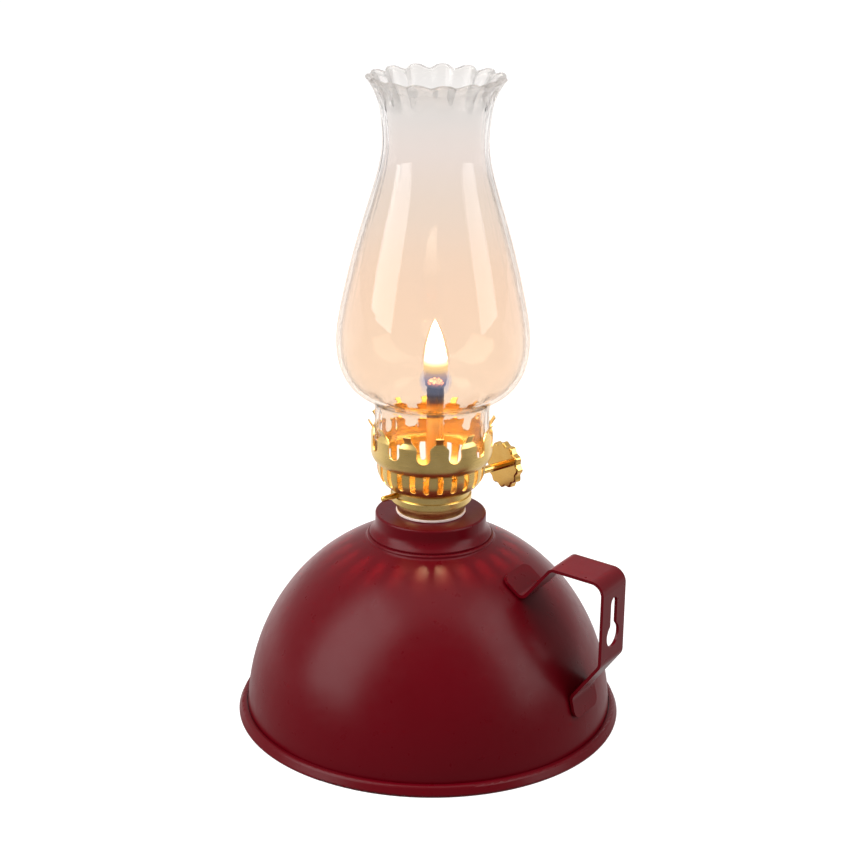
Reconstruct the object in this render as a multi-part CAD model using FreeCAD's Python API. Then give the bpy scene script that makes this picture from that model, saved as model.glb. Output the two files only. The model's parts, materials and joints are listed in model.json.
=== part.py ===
"""Table and wall oil lamp: pressed steel dome fount, brass burner, glass chimney.

Frame: origin at the centre of the resting face, +Z up the lamp's axis, +X towards the handle.
All lengths are in millimetres.
"""
import FreeCAD
import Part
import math
import os

V = FreeCAD.Vector
UP = V(0, 0, 1)
ORIGIN = V(0, 0, 0)

# ---- Fount: a half-ellipse dome of pressed sheet on a seamed bottom plate ----
BASE_R = 75.0             # outer radius of the seam at the foot
SHEET = 0.8               # steel sheet of the fount
SEAM_H = 4.2              # height of the seam
SEAM_LEAN = 24.0          # the seam's side leans out towards the foot, degrees
SEAM_LIP_R = 71.9         # where the seam's folded lip ends
SEAM_TOP_ROUND = 1.5
SEAM_FOOT_ROUND = 0.9
DOME_R = 71.5             # horizontal half-axis of the dome
DOME_H = 76.9             # vertical half-axis of the dome
DOME_Z = 0.7              # height of the dome's centre
BOSS_R = 24.6             # raised seat under the neck cap
BOSS_Z = 74.3
NECK_HOLE_R = 20.4        # opening in the top of the dome

# ---- Neck cap and screw collar ----
NECK_R = 21.4
NECK_TOP = 83.1
NECK_FLANGE_R = 23.5
NECK_FLARE = 5.0          # radius of the hollow flare above the flange
CAP_HOLE_R = 12.8
COLLAR_WALL_R = 13.2
COLLAR_FLANGE_R = 16.5
COLLAR_BOTTOM = 75.3
THREAD_R = 11.8           # bore of the screw collar
THREAD_CLEARANCE = 0.06

# ---- Handle: one bent strap, outer face given from free end to free end ----
STRAP_W = 17.6
STRAP_T = 1.2
STRAP_PLATE_X = 80.4      # outer face of the upright plate
STRAP_FOOT_ROUND = 3.5
STRAP_PATH = [
    (37.9, 67.65, 0.0),
    (46.1, 61.30, 2.0),
    (57.7, 75.80, 3.2),
    (STRAP_PLATE_X, 74.70, 5.5),
    (STRAP_PLATE_X, 41.30, 4.2),
    (69.0, 25.60, 3.4),
    (71.1, 17.20, 0.0),
]
KEYHOLE_R = 4.75          # round end of the keyhole
KEYHOLE_SLOT_W = 4.8
KEYHOLE_Z = 51.55         # centre of the round end
KEYHOLE_H = 20.0          # from the lowest to the highest point
KEYHOLE_SHOULDER = 1.5

# ---- Burner, from the seal ring up ----
BRASS = 0.5               # sheet of the basket and the crown
SEAL_T = 1.0
SEAL_R = 13.4
BASE_FLOOR_Z = NECK_TOP + SEAL_T
BASE_FOOT_R = 13.0
BASE_WALL = 0.7
TAPER_TOP = 86.4          # where the hollow taper turns out towards the drum
TAPER_CURVE = 5.0
DRUM_BOTTOM = 88.1
DRUM_R = 15.0
DRUM_WALL = 0.6
DRUM_TOP = 94.0
SKIRT_BOTTOM = 76.0
SKIRT_WALL = 0.85
RING_R = 15.6
RING_Z = (88.6, 91.1)
RING_SPLIT_AZ = -127.0    # where the rolled ring butts together, degrees
RING_SPLIT_W = 0.35
FLOOR_Z = (88.9, 89.5)
FLOOR_BREATHER_R = 1.0
FLOOR_BREATHER_AT = 8.0   # from the wick tube's axis

BASKET_HOLE_R = 13.9
BASKET_FOOT_R = 16.3
BASKET_R = 20.75
BASKET_CURVE = 9.3
BASKET_CORNER_Z = 96.73   # where the foot's slope would meet the upright wall
SEAT_Z = 107.1            # ledge that the chimney stands on
SEAT_INNER_R = 19.0
SLOT_COUNT = 24
SLOT_W = 2.2
SLOT_Z = (96.9, 104.6)
SLOT_AZ = 12.0

CROWN_FOOT_Z = 104.0
CROWN_R = 23.2
CROWN_CORNER_Z = 105.71
CROWN_CURVE = 5.7
PRONG_ROOT_Z = 115.5
PRONG_WAIST = (22.5, 117.7)
PRONG_TIP = (24.3, 120.5)
PRONG_COUNT = 12
GAP_AZ = 24.5
GAP_BOTTOM_Z = 110.2
GAP_BULB_W = 5.6
GAP_NECK_W = 4.7
GAP_NECK_Z = 116.0
GAP_MOUTH_W = 9.2
GAP_MOUTH_Z = 118.2

# ---- Wick feed: a horizontal spindle beside the wick tube ----
SPINDLE_AZ = 72.0         # direction of the knob, degrees
SPINDLE_Z = 92.3
SPINDLE_OFFSET = 2.2      # spindle axis to burner axis
TUBE_OFFSET = -1.8        # tube axis to burner axis, the other way
SHAFT_R = 1.1
SHAFT_TAIL = -22.4        # rounded end opposite the knob
BUSH_R = 1.6
RUNNING = 0.05            # radial clearance of the shaft in its bushes
WHEEL_TIP_R = 2.3
WHEEL_ROOT_R = 1.75
WHEEL_TEETH = 12
WHEEL_T = 0.8
WHEEL_AT = 1.1            # each wheel's distance from the tube's middle
TUBE_R = 3.3
TUBE_BORE_R = 2.8
TUBE_Z = (80.0, 134.0)
WINDOW_W = 4.6
WINDOW_H = 5.6
GUARD_W = 6.4
GUARD_REACH = 7.2         # outer face of the guard to the tube's axis
GUARD_TOP = 95.6
GUARD_T = 0.4
HUB_R = 1.55
HUB_START = 18.0
KNOB_FACE = 37.9          # inner face of the knob
KNOB_T = 0.55
KNOB_MEAN_R = 8.95
KNOB_WAVE = 0.45
KNOB_FLUTES = 12
KNOB_DEPTH = 2.9
RIVET_R = 2.0
RIVET_H = 0.9

# ---- Wick ----
WICK_R = 2.6
WICK_Z = (22.0, 136.0)
WICK_GROOVE_Z = (84.5, 108.5)
WICK_GROOVE_W = 1.2
WICK_GROOVE_AT = 1.5      # groove floor to wick axis

# ---- Chimney: straight foot, then outer radius by height, then a scalloped lip ----
GLASS_T = 1.5
GLASS_FOOT_R = 21.8
GLASS_FOOT_TOP = 126.5
GLASS_PROFILE = [
    (22.6, 128.6),
    (25.6, 130.7),
    (29.6, 133.3),
    (34.2, 139.9),
    (36.3, 152.7),
    (34.3, 166.7),
    (31.1, 180.7),
    (27.0, 195.7),
    (23.3, 207.7),
    (20.4, 218.7),
    (19.45, 228.2),
    (20.2, 236.6),
    (21.5, 243.3),
]
LIP_END = (24.0, 248.4)   # where the outer face meets the rounded edge
LIP_EDGE_R = 1.2
LIP_WAVES = 15
LIP_SCALLOP = 0.25        # broad round lobes with narrow valleys between them
LIP_WAVE_R = 1.25         # how far the wave moves the edge out and in
LIP_WAVE_Z = 0.7          # and up and down with it
LIP_WAVE_START = 238.5    # height where the waves fade in
LIP_CREST_AZ = 117.0      # a crest's direction, degrees
FOOT_SPOTS = 6            # even spots that hold the foot straight
GLASS_ROWS = 60           # rows of the glass's net from foot to lip
WAVE_COLUMNS = 8          # columns of the net to one wave


# ---------------------------------------------------------------- outlines
def on_xz(a, b):
    """A point of an outline drawn in the XZ plane."""
    return V(a, 0, b)


def radius_of(point):
    return point[2] if len(point) > 2 else 0.0


def rounded_corner(before, corner, after, radius):
    """Entry point, middle and exit point of the arc that rounds a corner."""
    back = (before - corner).normalize()
    ahead = (after - corner).normalize()
    half = back.getAngle(ahead) / 2.0
    reach = radius / math.tan(half)
    bisector = (back + ahead).normalize()
    middle = corner + bisector * (radius / math.sin(half) - radius)
    return corner + back * reach, middle, corner + ahead * reach


def outline_edges(points, closed=False):
    """Straight runs joined by tangent arcs. A point is (a, b) or (a, b, corner radius)."""
    spots = [on_xz(p[0], p[1]) for p in points]
    count = len(spots)
    knots = []
    for i, point in enumerate(points):
        radius = radius_of(point)
        inner = closed or 0 < i < count - 1
        if radius > 0 and inner:
            before = spots[i - 1]
            after = spots[(i + 1) % count]
            knots.append(rounded_corner(before, spots[i], after, radius))
        else:
            knots.append((spots[i], None, spots[i]))
    edges = []
    for i, (_, _, leave) in enumerate(knots):
        if i == count - 1 and not closed:
            break
        enter, middle, exit_point = knots[(i + 1) % count]
        if leave.distanceToPoint(enter) > 1e-4:
            edges.append(Part.LineSegment(leave, enter).toShape())
        if middle is not None:
            edges.append(Part.Arc(enter, middle, exit_point).toShape())
    return edges


def face_of(points):
    """A flat face inside a closed outline in the XZ plane."""
    return Part.Face(Part.Wire(outline_edges(points, closed=True)))


def turned(face):
    """The solid that a profile in the XZ plane sweeps around the lamp's axis."""
    return face.revolve(ORIGIN, UP, 360)


def offset_run(points, distance):
    """The same run moved sideways, to its left when distance is positive."""
    moved = []
    last = len(points) - 1
    for i, point in enumerate(points):
        here = V(point[0], point[1], 0)
        sides = []
        if i > 0:
            step = (here - V(points[i - 1][0], points[i - 1][1], 0)).normalize()
            sides.append(step)
        if i < last:
            step = (V(points[i + 1][0], points[i + 1][1], 0) - here).normalize()
            sides.append(step)
        normals = [V(-s.y, s.x, 0) for s in sides]
        if len(normals) == 1:
            shift = normals[0]
            turn = 0.0
        else:
            both = normals[0] + normals[1]
            shift = both * (1.0 / (1.0 + normals[0].dot(normals[1])))
            turn = sides[0].x * sides[1].y - sides[0].y * sides[1].x
        radius = radius_of(point)
        if radius > 0:
            grows = turn * distance < 0
            radius = max(radius + (abs(distance) if grows else -abs(distance)), 0.0)
        spot = here + shift * distance
        moved.append((spot.x, spot.y, radius))
    return moved


def sheet_face(points, distance):
    """Profile of bent sheet: one face follows the points, the other lies at distance to its left."""
    near = outline_edges(points)
    other = offset_run(points, distance)
    far = outline_edges(other)
    start = Part.LineSegment(on_xz(*points[0][:2]), on_xz(*other[0][:2])).toShape()
    end = Part.LineSegment(on_xz(*points[-1][:2]), on_xz(*other[-1][:2])).toShape()
    loop = Part.__sortEdges__(near + [end] + far + [start])
    return Part.Face(Part.Wire(loop))


def around(shape, count, first):
    """Copies of a shape, evenly spaced about the lamp's axis."""
    copies = []
    for i in range(count):
        copy = shape.copy()
        copy.rotate(ORIGIN, UP, first + 360.0 * i / count)
        copies.append(copy)
    return copies


def radial_cutter(points, reach):
    """A prism through a wall on the +X side: across is Y and up is Z in its outline."""
    face = face_of(points)
    face.rotate(ORIGIN, UP, 90)
    face.translate(V(reach[0], 0, 0))
    return face.extrude(V(reach[1] - reach[0], 0, 0))


# ---------------------------------------------------------------- fount
def dome_height(radius, inset=0.0):
    """Height of the dome's outer face, or of a face inset from it, at a radius."""
    share = radius / (DOME_R - inset)
    return DOME_Z + (DOME_H - inset) * math.sqrt(1.0 - share * share)


def dome_radius(height, inset=0.0):
    share = (height - DOME_Z) / (DOME_H - inset)
    return (DOME_R - inset) * math.sqrt(1.0 - share * share)


def dome_arc(low_z, high_z, inset=0.0):
    """The stretch of the dome's ellipse between two heights."""
    def spot(height):
        return on_xz(dome_radius(height, inset), height)
    centre = on_xz(0, DOME_Z)
    crown = on_xz(0, DOME_Z + DOME_H - inset)
    side = on_xz(DOME_R - inset, DOME_Z)
    ellipse = Part.Ellipse(crown, side, centre)
    ends = sorted([ellipse.parameter(spot(low_z)), ellipse.parameter(spot(high_z))])
    return Part.ArcOfEllipse(ellipse, ends[0], ends[1]).toShape()


def seam_radius(height, inset=0.0):
    """Radius of the seam's leaning side, or of a face inset from it, at a height."""
    lean = math.radians(SEAM_LEAN)
    corner = SEAM_FOOT_ROUND * ((1.0 + math.sin(lean)) / math.cos(lean) - 1.0)
    return BASE_R + corner - height * math.tan(lean) - inset / math.cos(lean)


def make_fount_shell():
    """The dome, with a seat for the neck cap above and a turned-down flange in the seam."""
    wall = SHEET
    flange_z = SEAM_H - wall
    inner_low = flange_z - wall
    outer_top = dome_height(BOSS_R + 0.6)
    inner_top = dome_height(BOSS_R - wall, wall)
    flange = [
        (dome_radius(flange_z), flange_z),
        (seam_radius(flange_z, wall), flange_z, SEAM_TOP_ROUND - wall),
        (seam_radius(wall, wall), wall, SEAM_FOOT_ROUND - wall),
        (seam_radius(wall, 2 * wall), wall),
        (seam_radius(inner_low, 2 * wall), inner_low),
        (dome_radius(inner_low, wall), inner_low),
    ]
    seat = [
        (BOSS_R + 0.6, outer_top),
        (BOSS_R, outer_top + 0.5, 0.3),
        (BOSS_R, BOSS_Z, 0.7),
        (NECK_HOLE_R, BOSS_Z),
        (NECK_HOLE_R, BOSS_Z - wall),
        (BOSS_R - wall, BOSS_Z - wall),
        (BOSS_R - wall, inner_top),
    ]
    edges = outline_edges(flange)
    edges.append(dome_arc(inner_low, inner_top, wall))
    edges += outline_edges(seat)
    edges.append(dome_arc(flange_z, outer_top))
    return turned(Part.Face(Part.Wire(Part.__sortEdges__(edges))))


def make_bottom_plate():
    """A flat plate whose leaning edge is folded up and over the dome's flange."""
    return turned(sheet_face([
        (0, 0),
        (seam_radius(0), 0, SEAM_FOOT_ROUND),
        (seam_radius(SEAM_H), SEAM_H, SEAM_TOP_ROUND),
        (SEAM_LIP_R, SEAM_H),
    ], SHEET))


def make_neck_cap():
    """The flanged cap over the opening, flat on top, with the hole for the screw collar."""
    inner_r = NECK_R - SHEET
    return turned(face_of([
        (inner_r, BOSS_Z),
        (NECK_FLANGE_R, BOSS_Z, 0.2),
        (NECK_FLANGE_R, BOSS_Z + 0.8, 0.3),
        (NECK_R, BOSS_Z + 3.2, NECK_FLARE),
        (NECK_R, NECK_TOP, 0.8),
        (CAP_HOLE_R, NECK_TOP, 0.2),
        (CAP_HOLE_R, NECK_TOP - SHEET),
        (inner_r, NECK_TOP - SHEET, 0.4),
    ]))


def make_thread_collar():
    """The screw collar under the cap, flush with the cap's top."""
    flange_top = NECK_TOP - SHEET
    throat_r = CAP_HOLE_R - 0.1
    return turned(face_of([
        (THREAD_R, COLLAR_BOTTOM, 0.2),
        (COLLAR_WALL_R, COLLAR_BOTTOM, 0.2),
        (COLLAR_WALL_R, flange_top - 1.0),
        (COLLAR_FLANGE_R, flange_top - 1.0, 0.2),
        (COLLAR_FLANGE_R, flange_top, 0.2),
        (throat_r, flange_top),
        (throat_r, NECK_TOP, 0.15),
        (THREAD_R, NECK_TOP),
    ]))


def keyhole_cutter():
    """Round end below, slot above, with softened shoulders between them."""
    half = KEYHOLE_SLOT_W / 2.0
    slot_top = KEYHOLE_Z - KEYHOLE_R + KEYHOLE_H - half
    depth = 4.0 * STRAP_T
    start = STRAP_PLATE_X - 0.75 * depth
    along = V(1, 0, 0)
    bulb = Part.makeCylinder(KEYHOLE_R, depth, V(start, 0, KEYHOLE_Z), along)
    slot = Part.makeBox(depth, 2 * half, slot_top - KEYHOLE_Z, V(start, -half, KEYHOLE_Z))
    end = Part.makeCylinder(half, depth, V(start, 0, slot_top), along)
    hole = bulb.fuse([slot, end]).removeSplitter()
    rise = math.sqrt(KEYHOLE_R ** 2 - half ** 2)
    shoulders = []
    for edge in hole.Edges:
        middle = edge.CenterOfMass
        upright = abs(middle.z - KEYHOLE_Z - rise) < 0.05
        if upright and abs(abs(middle.y) - half) < 0.05 and abs(edge.Length - depth) < 0.05:
            shoulders.append(edge)
    return hole.makeFillet(KEYHOLE_SHOULDER, shoulders)


def foot_corner_edges(strap):
    """The four short edges at the strap's free ends."""
    ends = [STRAP_PATH[0], STRAP_PATH[-1]]
    found = []
    for edge in strap.Edges:
        middle = edge.CenterOfMass
        if abs(edge.Length - STRAP_T) > 0.01 or abs(abs(middle.y) - STRAP_W / 2) > 0.01:
            continue
        if any(math.hypot(middle.x - e[0], middle.z - e[1]) < STRAP_T for e in ends):
            found.append(edge)
    return found


def make_handle_strap():
    """A flat strap bent into a grip, both feet lying on the dome, with a keyhole to hang it by."""
    face = sheet_face(STRAP_PATH, -STRAP_T)
    face.translate(V(0, -STRAP_W / 2, 0))
    strap = face.extrude(V(0, STRAP_W, 0))
    strap = strap.makeFillet(STRAP_FOOT_ROUND, foot_corner_edges(strap))
    strap = strap.cut(keyhole_cutter())
    dome = turned(Part.Face(Part.Wire(Part.__sortEdges__(
        [dome_arc(DOME_Z, DOME_Z + DOME_H)] + outline_edges(
            [(DOME_R, DOME_Z), (0, DOME_Z), (0, DOME_Z + DOME_H)])))))
    return strap.cut(dome)


# ---------------------------------------------------------------- burner
def make_burner_gasket():
    """The flat seal ring under the burner."""
    return turned(face_of([
        (THREAD_R + 0.1, NECK_TOP),
        (SEAL_R, NECK_TOP, 0.3),
        (SEAL_R, NECK_TOP + SEAL_T, 0.3),
        (THREAD_R + 0.1, NECK_TOP + SEAL_T),
    ]))


def make_burner_base():
    """Screw skirt, hollow taper and drum wall, in one pressing."""
    skirt_r = THREAD_R - THREAD_CLEARANCE
    bore_r = skirt_r - SKIRT_WALL
    inner_r = DRUM_R - DRUM_WALL
    body = turned(face_of([
        (bore_r, SKIRT_BOTTOM),
        (skirt_r, SKIRT_BOTTOM, 0.3),
        (skirt_r, BASE_FLOOR_Z),
        (BASE_FOOT_R, BASE_FLOOR_Z, 0.2),
        (BASE_FOOT_R + 0.3, TAPER_TOP, TAPER_CURVE),
        (DRUM_R, DRUM_BOTTOM, 0.4),
        (DRUM_R, DRUM_TOP),
        (inner_r, DRUM_TOP),
        (inner_r, DRUM_BOTTOM + 0.3),
        (BASE_FOOT_R - 0.3, TAPER_TOP + 0.3, 1.0),
        (BASE_FOOT_R - 0.6, BASE_FLOOR_Z + BASE_WALL),
        (bore_r, BASE_FLOOR_Z + BASE_WALL),
    ]))
    hole = spindle_cylinder(BUSH_R, -2 * DRUM_R, 2 * DRUM_R)
    return body.cut(hole)


def make_base_ring():
    """A rolled band around the drum's foot, butted together at one place."""
    low, high = RING_Z
    band = turned(face_of([
        (DRUM_R, low),
        (RING_R, low, 0.25),
        (RING_R, high, 0.25),
        (DRUM_R, high),
    ]))
    width = RING_SPLIT_W
    split = Part.makeBox(4.0, width, 2 * (high - low), V(DRUM_R - 2.0, -width / 2, low - 0.5))
    split.rotate(ORIGIN, UP, RING_SPLIT_AZ)
    return band.cut(split)


def make_tube_plate():
    """The drum's floor, which holds the wick tube and lets the fount breathe."""
    low, high = FLOOR_Z
    plate = Part.makeCylinder(DRUM_R - DRUM_WALL, high - low, V(0, 0, low))
    tube = Part.makeCylinder(TUBE_R, high - low, tube_spot(low))
    breather_spot = tube_spot(low) - across() * FLOOR_BREATHER_AT
    breather = Part.makeCylinder(FLOOR_BREATHER_R, high - low, breather_spot)
    return plate.cut([tube, breather])


def make_air_basket():
    """The slotted bowl that feeds air to the flame, with the chimney's ledge on top."""
    bowl = turned(sheet_face([
        (BASKET_HOLE_R, DRUM_TOP),
        (BASKET_FOOT_R, DRUM_TOP, 0.4),
        (BASKET_R, BASKET_CORNER_Z, BASKET_CURVE),
        (BASKET_R, SEAT_Z, 0.8),
        (SEAT_INNER_R, SEAT_Z),
    ], BRASS))
    half = SLOT_W / 2.0
    slot = radial_cutter([
        (-half, SLOT_Z[0], 0.98 * half),
        (half, SLOT_Z[0], 0.98 * half),
        (half, SLOT_Z[1], 0.98 * half),
        (-half, SLOT_Z[1], 0.98 * half),
    ], (BASKET_FOOT_R, CROWN_R))
    return bowl.cut(around(slot, SLOT_COUNT, SLOT_AZ))


def make_gallery_crown():
    """The crown around the chimney's foot, cut into prongs that spring against the glass."""
    bowl = turned(sheet_face([
        (BASKET_R, CROWN_FOOT_Z),
        (CROWN_R, CROWN_CORNER_Z, CROWN_CURVE),
        (CROWN_R, PRONG_ROOT_Z, 2.0),
        (PRONG_WAIST[0], PRONG_WAIST[1], 0.8),
        PRONG_TIP,
    ], BRASS))
    bulb = GAP_BULB_W / 2.0
    neck = GAP_NECK_W / 2.0
    mouth = GAP_MOUTH_W / 2.0
    top = PRONG_TIP[1] + 2.0
    gap = radial_cutter([
        (-bulb, GAP_BOTTOM_Z, 0.9 * bulb),
        (bulb, GAP_BOTTOM_Z, 0.9 * bulb),
        (neck, GAP_NECK_Z, 1.4),
        (mouth, GAP_MOUTH_Z, 1.0),
        (mouth + 0.35, top),
        (-mouth - 0.35, top),
        (-mouth, GAP_MOUTH_Z, 1.0),
        (-neck, GAP_NECK_Z, 1.4),
    ], (BASKET_R - 1.0, CROWN_R + 4.0))
    basket = Part.makeCylinder(BASKET_R, SEAT_Z - CROWN_FOOT_Z + 1.0, V(0, 0, CROWN_FOOT_Z - 1.0))
    return bowl.cut(basket).cut(around(gap, PRONG_COUNT, GAP_AZ))


# ---------------------------------------------------------------- wick feed
def along():
    """Unit vector from the lamp's axis towards the knob."""
    angle = math.radians(SPINDLE_AZ)
    return V(math.cos(angle), math.sin(angle), 0)


def across():
    """Unit vector from the wick tube towards the spindle."""
    angle = math.radians(SPINDLE_AZ)
    return V(-math.sin(angle), math.cos(angle), 0)


def spindle_spot(distance):
    """A point on the spindle's axis, at a distance along it towards the knob."""
    return along() * distance + across() * SPINDLE_OFFSET + V(0, 0, SPINDLE_Z)


def tube_spot(height):
    """A point on the wick tube's axis."""
    return across() * TUBE_OFFSET + V(0, 0, height)


def spindle_cylinder(radius, start, end):
    return Part.makeCylinder(radius, end - start, spindle_spot(start), along())


def feed_box(width, near, far, low, high):
    """A box lined up with the spindle: width along it, near to far across it from the tube."""
    box = Part.makeBox(width, far - near, high - low, V(-width / 2, near, low))
    box.rotate(ORIGIN, UP, SPINDLE_AZ)
    box.translate(tube_spot(0))
    return box


def make_wick_tube():
    """The tall tube that holds the wick, with a window for the feed wheels."""
    low, high = TUBE_Z
    tube = Part.makeCylinder(TUBE_R, high - low, tube_spot(low))
    bore = Part.makeCylinder(TUBE_BORE_R, high - low, tube_spot(low))
    half = WINDOW_H / 2.0
    window = feed_box(WINDOW_W, 0.5, TUBE_R + 1.0, SPINDLE_Z - half, SPINDLE_Z + half)
    return tube.cut([bore, window])


def make_wheel_guard():
    """A small hood on the tube's side that closes in the feed wheels."""
    low = FLOOR_Z[1]
    wall = GUARD_T
    hood = feed_box(GUARD_W, 0.0, GUARD_REACH, low, GUARD_TOP)
    room = feed_box(GUARD_W - 2 * wall, -1.0, GUARD_REACH - wall, low, GUARD_TOP - wall)
    tube = Part.makeCylinder(TUBE_R, GUARD_TOP, tube_spot(0))
    shaft = spindle_cylinder(SHAFT_R + 0.2, -GUARD_W, GUARD_W)
    return hood.cut([room, tube, shaft])


def make_spindle_bushes():
    """Two bushes in the drum's wall, one each side."""
    drum = Part.makeCylinder(DRUM_R, DRUM_TOP)
    bore = spindle_cylinder(SHAFT_R + RUNNING, -2 * DRUM_R, 2 * DRUM_R)
    bushes = []
    for start, end in ((-DRUM_R - 1.0, 2.0 - DRUM_R), (DRUM_R - 2.0, DRUM_R + 1.0)):
        bushes.append(spindle_cylinder(BUSH_R, start, end).common(drum).cut(bore))
    return Part.Compound(bushes)


def make_wick_spindle():
    """The shaft, from its rounded tail to the knob's outer face."""
    shaft = spindle_cylinder(SHAFT_R, SHAFT_TAIL, KNOB_FACE + KNOB_T)
    tail = [e for e in shaft.Edges if e.CenterOfMass.distanceToPoint(spindle_spot(SHAFT_TAIL)) < 0.1]
    return shaft.makeFillet(0.7, tail)


def make_wick_wheels():
    """Two spiked wheels on the shaft, which carry the wick up and down."""
    points = []
    for i in range(2 * WHEEL_TEETH):
        radius = WHEEL_TIP_R if i % 2 == 0 else WHEEL_ROOT_R
        angle = math.pi * i / WHEEL_TEETH
        points.append((radius * math.cos(angle), radius * math.sin(angle)))
    star = face_of(points).extrude(V(0, WHEEL_T, 0))
    bore = Part.makeCylinder(SHAFT_R, WHEEL_T, ORIGIN, V(0, 1, 0))
    star = star.cut(bore)
    wheels = []
    for start in (-WHEEL_AT - WHEEL_T / 2, WHEEL_AT - WHEEL_T / 2):
        wheel = star.copy()
        wheel.rotate(ORIGIN, UP, SPINDLE_AZ - 90)
        wheel.translate(spindle_spot(start))
        wheels.append(wheel)
    return Part.Compound(wheels)


def make_knob_hub():
    """The sleeve that joins the knob to the shaft."""
    sleeve = spindle_cylinder(HUB_R, HUB_START, KNOB_FACE)
    return sleeve.cut(spindle_cylinder(SHAFT_R, HUB_START, KNOB_FACE))


def fluted_wire(mean_radius, distance):
    """The knob's wavy outline, square to the spindle, at a distance along it."""
    steps = 8 * KNOB_FLUTES
    across_v = across()
    spots = []
    for i in range(steps):
        angle = 2 * math.pi * i / steps
        radius = mean_radius + KNOB_WAVE * math.cos(KNOB_FLUTES * angle)
        offset = across_v * (radius * math.cos(angle)) + UP * (radius * math.sin(angle))
        spots.append(spindle_spot(distance) + offset)
    curve = Part.BSplineCurve()
    curve.interpolate(spots, PeriodicFlag=True)
    return Part.Wire(curve.toShape())


def make_knob_disc():
    """A pressed knob: a flat face towards the lamp and a fluted skirt pointing away from it."""
    face = KNOB_FACE
    skirt = KNOB_FACE + KNOB_DEPTH
    outer = Part.makeLoft([
        fluted_wire(KNOB_MEAN_R - 0.6, face),
        fluted_wire(KNOB_MEAN_R - 0.15, face + 0.25),
        fluted_wire(KNOB_MEAN_R, face + 0.7),
        fluted_wire(KNOB_MEAN_R + 0.1, skirt),
    ], True, True)
    inner = Part.makeLoft([
        fluted_wire(KNOB_MEAN_R - KNOB_T - 0.3, face + KNOB_T),
        fluted_wire(KNOB_MEAN_R - KNOB_T, face + 1.2),
        fluted_wire(KNOB_MEAN_R + 0.1 - KNOB_T, skirt + 0.5),
    ], True, True)
    return outer.cut([inner, spindle_cylinder(SHAFT_R, face - 1.0, face + 1.0)])


def make_knob_rivet():
    """The shaft's end, headed over to hold the knob."""
    head = turned(face_of([
        (0, 0),
        (RIVET_R, 0),
        (RIVET_R, RIVET_H, 0.9 * RIVET_H),
        (0, RIVET_H),
    ]))
    head.rotate(ORIGIN, V(0, 1, 0), 90)
    head.rotate(ORIGIN, UP, SPINDLE_AZ)
    head.translate(spindle_spot(KNOB_FACE + KNOB_T))
    return head


def make_wick():
    """The round wick, hanging down into the fount, pressed in where the wheels drive it."""
    low, high = WICK_Z
    wick = Part.makeCylinder(WICK_R, high - low, tube_spot(low))
    grooves = []
    for side in (-1, 1):
        groove = feed_box(WICK_GROOVE_W, WICK_GROOVE_AT, WICK_R + 1.0, *WICK_GROOVE_Z)
        groove.translate(along() * (side * WHEEL_AT))
        grooves.append(groove)
    return wick.cut(grooves)


# ---------------------------------------------------------------- chimney
def lip_share(height):
    """How much of the lip's wave reaches a height: none below its start, all at the edge."""
    share = (height - LIP_WAVE_START) / (LIP_END[1] - LIP_WAVE_START)
    share = max(0.0, min(1.0, share))
    return share * share * (3.0 - 2.0 * share)


def glass_section():
    """The glass's section as one row of points: up outside, over the lip and down inside."""
    rise = GLASS_FOOT_TOP - SEAT_Z
    foot = [on_xz(GLASS_FOOT_R, SEAT_Z + rise * i / FOOT_SPOTS) for i in range(FOOT_SPOTS + 1)]
    curve = Part.BSplineCurve()
    curve.interpolate(foot + [on_xz(*p) for p in GLASS_PROFILE] + [on_xz(*LIP_END)])
    first = curve.FirstParameter
    total = curve.length(first, curve.LastParameter)
    outer = []
    inner = []
    for i in range(GLASS_ROWS + 1):
        u = curve.parameterAtDistance(total * i / GLASS_ROWS, first)
        point = curve.value(u)
        along_wall = V(*curve.tangent(u)[0])
        normal = V(along_wall.z, 0, -along_wall.x)
        outer.append(point)
        inner.append(point - normal * GLASS_T)
    outer[0] = on_xz(GLASS_FOOT_R, SEAT_Z)
    inner[0] = on_xz(GLASS_FOOT_R - GLASS_T, SEAT_Z)
    middle = outer[-1] - normal * (GLASS_T / 2.0)
    lip = []
    for degrees in (70, 40, 0, -40, -70):
        angle = math.radians(degrees)
        out = normal * (LIP_EDGE_R * math.sin(angle))
        lip.append(middle + out + along_wall * (LIP_EDGE_R * (0.4 + math.cos(angle))))
    return outer + lip + inner[::-1]


def even_knots(poles, degree, periodic):
    """Knots and their multiplicities for an evenly spaced spline."""
    if periodic:
        return list(range(poles + 1)), [1] * (poles + 1)
    count = poles - degree + 1
    return list(range(count)), [degree + 1] + [1] * (count - 2) + [degree + 1]


def on_foot(edge):
    """Whether an edge runs round the glass's foot."""
    return all(abs(v.Z - SEAT_Z) < 1e-6 for v in edge.Vertexes)


def radius_at(edge):
    start = edge.Vertexes[0]
    return math.hypot(start.X, start.Y)


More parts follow.
